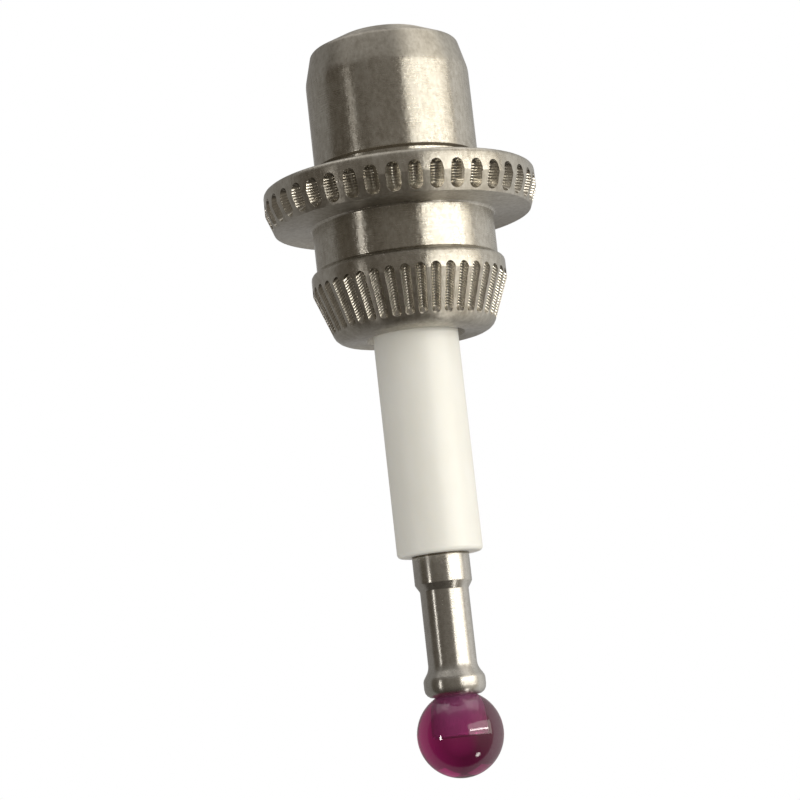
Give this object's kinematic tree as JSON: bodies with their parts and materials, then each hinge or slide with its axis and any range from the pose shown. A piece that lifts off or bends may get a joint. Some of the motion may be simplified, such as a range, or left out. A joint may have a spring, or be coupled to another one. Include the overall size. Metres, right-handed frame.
{
  "type": "coordinate measuring machine stylus",
  "caption": "Coordinate measuring stylus: steel mounting spigot with grooved flange and tapered grip collar, white ceramic stem, stepped steel tip holder and ruby ball.",
  "frame": {"origin": "on the axis, where the spigot's ground length begins above the relief at its root, 1.3 mm above the flange's seat face", "axes": "+Z along the axis towards the spigot's free end, as the stylus hangs in the machine; the ball points down along -Z"},
  "size_m": [0.0194, 0.0192, 0.0529],
  "materials": {
    "turned_steel": "turned, with milled grooves",
    "white_ceramic": "fine ground",
    "polished_steel": "polished",
    "ruby": "lapped"
  },
  "bodies": {
    "root": {"mounting_head": "turned_steel", "ceramic_stem": "white_ceramic", "tip_holder": "polished_steel", "ruby_ball": "ruby"}
  },
  "joints": []
}
